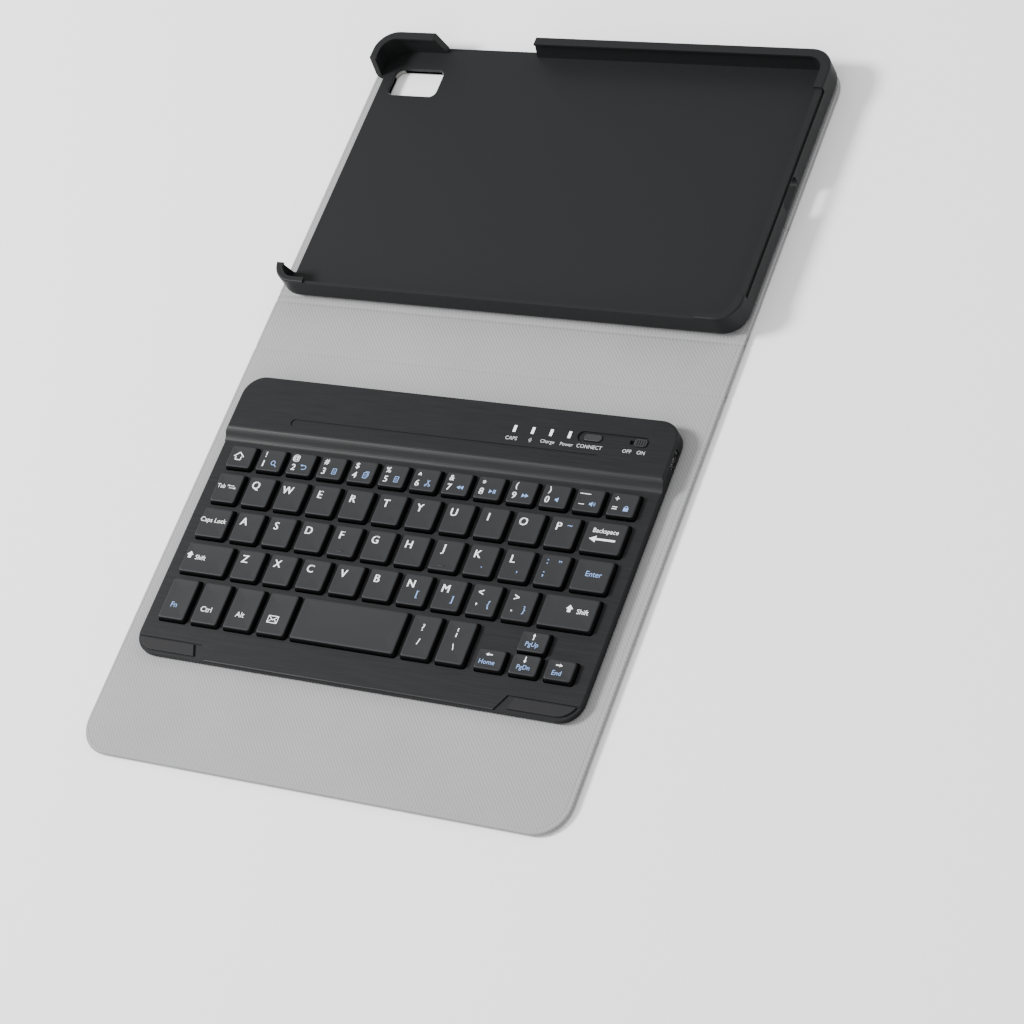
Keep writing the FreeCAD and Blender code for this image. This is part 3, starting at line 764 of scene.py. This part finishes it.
def icon_tab(s):
    shapes = []
    for way in (-1, 1):
        y = -way * 0.22 * s
        shapes.append(band([(-way * 0.5 * s, y), (way * 0.7 * s, y)], 0.09 * s))
        shapes.append(triangle(way * 0.62 * s, y, 0.3 * s, 0.34 * s, way))
        shapes.append(band([(way * 0.82 * s, y - 0.18 * s), (way * 0.82 * s, y + 0.18 * s)], 0.08 * s))
    return merged(*shapes)


def icon_long_arrow(s):
    return merged(band([(-0.6 * s, 0), (1.0 * s, 0)], 0.14 * s), triangle(-0.72 * s, 0, 0.5 * s, 0.5 * s, -1))


def icon_shift(s):
    head = prism([(-0.55 * s, 0.0), (0.55 * s, 0.0), (0, 0.6 * s)])
    return merged(head, rectangle(-0.26 * s, -0.5 * s, 0.26 * s, 0.0))


def icon_arrow(s, quarter):
    """An arrow that points right, turned by quarters."""
    shaft = band([(-0.5 * s, 0), (0.2 * s, 0)], 0.16 * s)
    points, faces = merged(shaft, triangle(0.32 * s, 0, 0.42 * s, 0.5 * s))
    turn = Matrix.Rotation(math.pi / 2 * quarter, 3, "Z")
    return [turn @ p for p in points], faces


def icon_link(s):
    radii = [(0.2 + 0.26 * k) * s for k in range(3)]
    return merged(*[ring_band(-0.35 * s, 0, r, 0.1 * s, -0.13, 0.26, 8) for r in radii])


ICONS = {
    "home": icon_home, "envelope": icon_envelope, "search": icon_search, "back": icon_back, "page": icon_page,
    "pages": icon_pages, "cut": icon_cut, "rewind": icon_rewind, "forward": icon_forward, "play": icon_play,
    "mute": lambda s: icon_speaker(s, 0), "louder": lambda s: icon_speaker(s, 2),
    "lock": icon_lock, "tab": icon_tab, "long_arrow": icon_long_arrow,
    "shift": icon_shift, "link": icon_link, "arrow_right": lambda s: icon_arrow(s, 0),
    "arrow_up": lambda s: icon_arrow(s, 1), "arrow_left": lambda s: icon_arrow(s, 2),
    "arrow_down": lambda s: icon_arrow(s, 3),
}
TEXT_BOLD = 0.018                 # how far apart a bold letter is struck, as a share of its size
BOLD_FROM = 3.25 * MM             # smaller print stays thin, so that it can be read


def mark_shape(mark, size):
    """A legend's flat shape: an icon by name after a colon, or letters."""
    if mark.startswith(":") and mark[1:] in ICONS:
        return ICONS[mark[1:]](size * 0.8)
    return glyph_mesh(mark, size, TEXT_BOLD if size > BOLD_FROM else 0.0)


def legends(node, boxes, marks, parent):
    """marks holds, per cap, a list of (mark, across, up, size in mm, 'w' or 'b')."""
    shapes = {"w": ([], []), "b": ([], [])}
    for box, cap_marks in zip(boxes, marks):
        x0, y0, x1, y1, _, _ = box
        top_x0, top_y0 = x0 + CAP_FLARE, y0 + CAP_FLARE
        width, height = x1 - x0 - 2 * CAP_FLARE, y1 - y0 - 2 * CAP_FLARE
        for mark, across, up, size, tone in cap_marks:
            cx, cy = top_x0 + across * width, top_y0 + up * height
            points, faces = mark_shape(mark, size * MM)
            spots = [(p.x + cx, p.y + cy, p.z + PRINT_LIFT) for p in points]
            placed = [(x, y, dish_z(x, y, box) + z) for x, y, z in spots]
            all_points, all_faces = shapes[tone]
            start = len(all_points)
            all_points += placed
            all_faces += [[start + k for k in face] for face in faces]
    for tone, material, label in (("w", WHITE_INK, "white"), ("b", BLUE_INK, "blue")):
        points, faces = shapes[tone]
        if points:
            piece = mesh_object(f"{node}_print_{label}", points, faces, [material], smooth=False)
            piece.parent = parent
            piece.matrix_parent_inverse = parent.matrix_world.inverted()


def letter(mark, *extra):
    return [(mark, 0.31, 0.69, 4.6, "w"), *extra]


def number(upper, lower, icon):
    return [(upper, 0.23, 0.75, 3.3, "w"), (lower, 0.24, 0.33, 3.9, "w"), (":" + icon, 0.66, 0.36, 3.5, "b")]


NUMBER_MARKS = [
    number("!", "1", "search"), number("@", "2", "back"), number("#", "3", "page"), number("$", "4", "pages"),
    number("%", "5", "page"), number("^", "6", "cut"), number("&", "7", "rewind"), number("*", "8", "play"),
    number("(", "9", "forward"), number(")", "0", "mute"),
    [("—", 0.3, 0.78, 4.2, "w"), ("–", 0.27, 0.32, 4.0, "w"), (":louder", 0.68, 0.36, 3.5, "b")],
    number("+", "=", "lock"),
]
TOP_MARKS = [letter(c) for c in "QWERTYUIO"] + [letter("P", ("~", 0.68, 0.74, 3.6, "b"))]
MIDDLE_MARKS = [letter(c) for c in "ASDFGHJ"]
MIDDLE_MARKS += [letter("K", ("`", 0.6, 0.28, 3.4, "b")), letter("L", ("’", 0.6, 0.28, 3.4, "b"))]
MIDDLE_MARKS += [[(":", 0.24, 0.76, 4.0, "b"), (";", 0.24, 0.34, 4.0, "b"), ("”", 0.68, 0.8, 3.4, "b")]]
LOWER_MARKS = [letter(c) for c in "ZXCVB"]
LOWER_MARKS += [letter("N", ("[", 0.66, 0.36, 3.6, "b")), letter("M", ("]", 0.66, 0.36, 3.6, "b"))]
LOWER_MARKS += [[("<", 0.3, 0.74, 4.2, "w"), (",", 0.28, 0.34, 4.2, "w"), ("{", 0.7, 0.36, 3.6, "b")],
                [(">", 0.3, 0.74, 4.2, "w"), (".", 0.28, 0.3, 4.2, "w"), ("}", 0.7, 0.36, 3.6, "b")]]
SINGLE_KEYS = {
    "home_key": [(":home", 0.4, 0.5, 4.3, "w")],
    "tab_key": [("Tab", 0.23, 0.55, 2.5, "w"), (":tab", 0.66, 0.55, 2.8, "w")],
    "backspace_key": [("Backspace", 0.5, 0.69, 2.6, "w"), (":long_arrow", 0.47, 0.43, 6.8, "w")],
    "caps_lock_key": [("Caps Lock", 0.46, 0.56, 2.8, "w")],
    "enter_key": [("Enter", 0.55, 0.55, 3.1, "b")],
    "left_shift_key": [(":shift", 0.11, 0.57, 3.3, "w"), ("Shift", 0.36, 0.52, 2.8, "w")],
    "right_shift_key": [(":shift", 0.5, 0.62, 3.3, "w"), ("Shift", 0.76, 0.57, 2.8, "w")],
    "function_key": [("Fn", 0.42, 0.35, 3.2, "b")],
    "control_key": [("Ctrl", 0.42, 0.35, 3.2, "w")],
    "alt_key": [("Alt", 0.46, 0.35, 3.2, "w")],
    "menu_key": [(":envelope", 0.42, 0.36, 3.6, "w")],
    "space_bar": [],
    "slash_key": [("?", 0.44, 0.72, 4.0, "w"), ("/", 0.46, 0.38, 3.6, "w")],
    "backslash_key": [("¦", 0.42, 0.72, 4.0, "w"), ("\\", 0.46, 0.38, 3.6, "w")],
    "left_arrow_key": [(":arrow_left", 0.42, 0.74, 3.3, "w"), ("Home", 0.42, 0.36, 2.7, "b")],
    "down_arrow_key": [(":arrow_down", 0.46, 0.75, 3.1, "w"), ("PgDn", 0.48, 0.34, 2.6, "b")],
    "right_arrow_key": [(":arrow_right", 0.42, 0.74, 3.3, "w"), ("End", 0.42, 0.36, 2.7, "b")],
    "up_arrow_key": [(":arrow_up", 0.46, 0.75, 3.1, "w"), ("PgUp", 0.48, 0.34, 2.6, "b")],
}
ROW_KEYS = {
    "number_keys": (NUMBER_MARKS, "home_key"), "top_row_keys": (TOP_MARKS, "slash_key"),
    "middle_row_keys": (MIDDLE_MARKS, "slash_key"), "lower_row_keys": (LOWER_MARKS, "slash_key"),
}
HOMING_CAPS = (3, 6)


def homing_bars(boxes, parent):
    """The small raised bars on F and J."""
    verts, faces = [], []
    for index in HOMING_CAPS:
        x0, y0, x1, y1, _, z1 = boxes[index]
        cx, cy = x0 + (x1 - x0) * 0.47, y0 + (y1 - y0) * 0.17
        levels = [(1.6, 0.34, -0.2), (1.6, 0.34, 0.02), (1.45, 0.2, 0.14)]
        rings = []
        for hx, hy, dz in levels:
            flat = ring_points(cx, cy, hx * MM, hy * MM, hy * 0.95 * MM, 5)
            rings.append([(x, y, dish_z(x, y, boxes[index]) + dz * MM) for x, y in flat])
        bar_verts, bar_faces = lofted(rings)
        faces += [[len(verts) + k for k in face] for face in bar_faces]
        verts += bar_verts
    piece = mesh_object("homing_bars", verts, faces, [CAP_PLASTIC])
    tidy_mesh(piece)
    piece.parent = parent
    piece.matrix_parent_inverse = parent.matrix_world.inverted()


def keys():
    for node, marks in SINGLE_KEYS.items():
        boxes = cap_boxes(node)
        legends(node, boxes, [marks], caps(node, boxes, node))
        domes(node, boxes)
    for node, (marks, width_of) in ROW_KEYS.items():
        boxes = cap_boxes(node, len(marks), width_of)
        piece = caps(node, boxes, node)
        legends(node, boxes, marks, piece)
        domes(node, boxes)
        if node == "middle_row_keys":
            homing_bars(boxes, piece)


# ---------------------------------------------------------------- printing on the deck
def deck_print():
    """Small labels under the lamps and switches."""
    lens_x0, lens_y0, _, lens_x1, lens_y1, _ = corners("indicator_lenses")
    top = corners("keyboard_deck")[5]
    step = (lens_x1 - lens_x0 - 1.2 * MM) / 3
    first = lens_x0 + 0.6 * MM
    y = (lens_y0 + lens_y1) / 2 - 4.2 * MM
    connect = corners("connect_button")
    knob = corners("power_knob")
    labels = [("CAPS", first, 2.2), (":link", first + step, 2.3),
              ("Charge", first + 2 * step - 0.2 * MM, 2.1), ("Power", first + 3 * step + 0.2 * MM, 2.1),
              ("CONNECT", (connect[0] + connect[3]) / 2, 2.2),
              ("OFF", knob[0] - 1.6 * MM, 2.2), ("ON", knob[3] - 1.0 * MM, 2.2)]
    points, faces = [], []
    for mark, x, size in labels:
        shape_points, shape_faces = mark_shape(mark, size * MM)
        faces += [[len(points) + k for k in face] for face in shape_faces]
        points += [(p.x + x, p.y + y, p.z + top + 0.008 * MM) for p in shape_points]
    piece = mesh_object("deck_labels", points, faces, [GREY_INK], smooth=False)
    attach(piece, "keyboard")


# ---------------------------------------------------------------- floor, light and camera
def floor():
    s = Shader("floor_paper", (0.93, 0.93, 0.94), 0.9, Specular_IOR_Level=0.1)
    s.tint(s.noise((3.0,) * 3, 2.0), 0.995, 1.0)
    size, z = 6.0, -0.05 * MM
    made = mesh_object("floor", [(-size, -size, z), (size, -size, z), (size, size, z), (-size, size, z)],
                       [[0, 1, 2, 3]], [s.material], smooth=False)


def area_light(name, place, aim, size, power):
    data = bpy.data.lights.new(name, "AREA")
    data.shape = "DISK"
    data.size = size
    data.energy = power
    lamp = bpy.data.objects.new(name, data)
    lamp.location = place
    lamp.rotation_euler = (Vector(aim) - Vector(place)).to_track_quat("-Z", "Y").to_euler()
    bpy.context.collection.objects.link(lamp)


def lights():
    area_light("key_light", (-1.5, -0.35, 1.45), (0, 0, 0), 0.6, 84.0)
    area_light("fill_light", (0.3, -1.9, 1.5), (0, 0, 0), 1.4, 14.0)
    area_light("back_light", (1.2, 1.6, 1.5), (0, 0.05, 0), 1.0, 8.0)
    world = bpy.data.worlds.new("studio")
    world.use_nodes = True
    world.node_tree.nodes["Background"].inputs["Color"].default_value = (1.0, 1.0, 1.0, 1)
    world.node_tree.nodes["Background"].inputs["Strength"].default_value = 1.0
    bpy.context.scene.world = world


def camera():
    """Looks down from the front right, rolled a little over a third of a right angle."""
    place, aim, roll = Vector((0.5898, -0.4951, 0.8720)), Vector((0.0363, -0.0432, 0.0)), math.radians(36.02)
    forward = (aim - place).normalized()
    level = forward.cross(Vector((0, 0, 1))).normalized()
    right = Matrix.Rotation(roll, 3, forward) @ level
    up = right.cross(forward)
    data = bpy.data.cameras.new("camera")
    data.lens = 106.12
    data.sensor_width = 36.0
    data.clip_start = 0.01
    made = bpy.data.objects.new("camera", data)
    made.matrix_world = Matrix((right, up, -forward)).transposed().to_4x4()
    made.location = place
    bpy.context.collection.objects.link(made)
    bpy.context.scene.camera = made


camera()
paint_frame()
cover()
keys()
deck_print()
floor()
lights()
